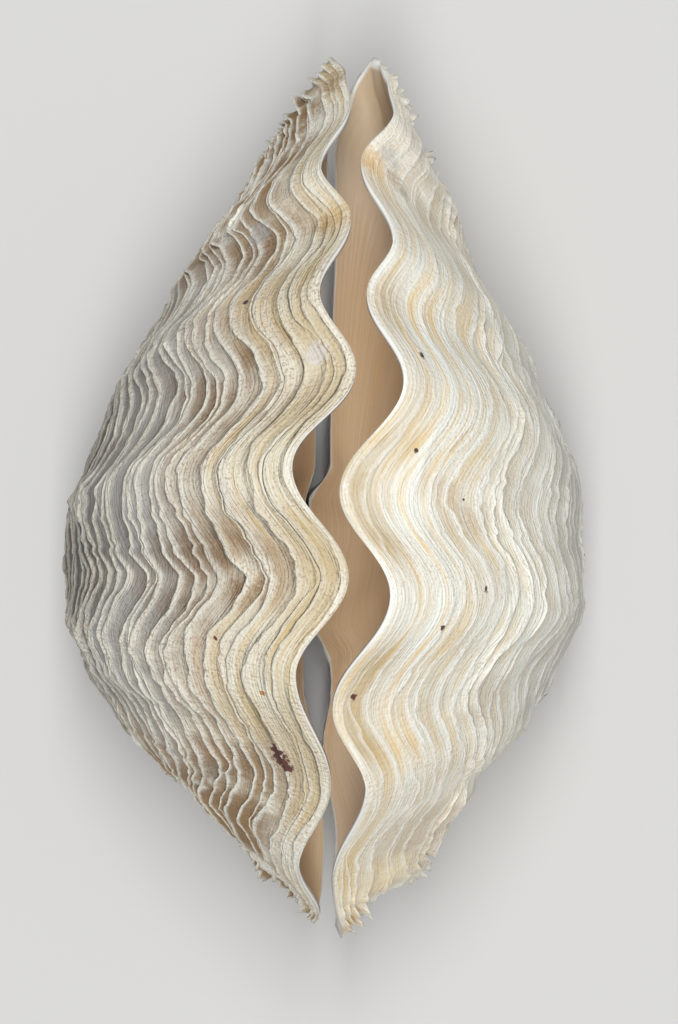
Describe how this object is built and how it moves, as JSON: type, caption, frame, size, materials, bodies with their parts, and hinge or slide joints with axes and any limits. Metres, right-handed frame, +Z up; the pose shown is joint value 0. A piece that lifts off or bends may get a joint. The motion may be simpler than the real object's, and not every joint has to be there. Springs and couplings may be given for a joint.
{
  "type": "giant clam shell",
  "caption": "Natural giant clam shell, fluted valves standing slightly open on their hinge with the wavy margins up, for display.",
  "frame": {"origin": "under the middle of the shell's box, on the surface that it stands on", "axes": "+Y along the hinge towards the longer end, +X from the left valve to the right valve, +Z up to the open margins"},
  "size_m": [0.181, 0.307, 0.1818],
  "materials": {
    "shell": "matte, chalky outside, smooth inside"
  },
  "bodies": {
    "root": {"left_valve": "shell", "right_valve": "shell"}
  },
  "joints": []
}
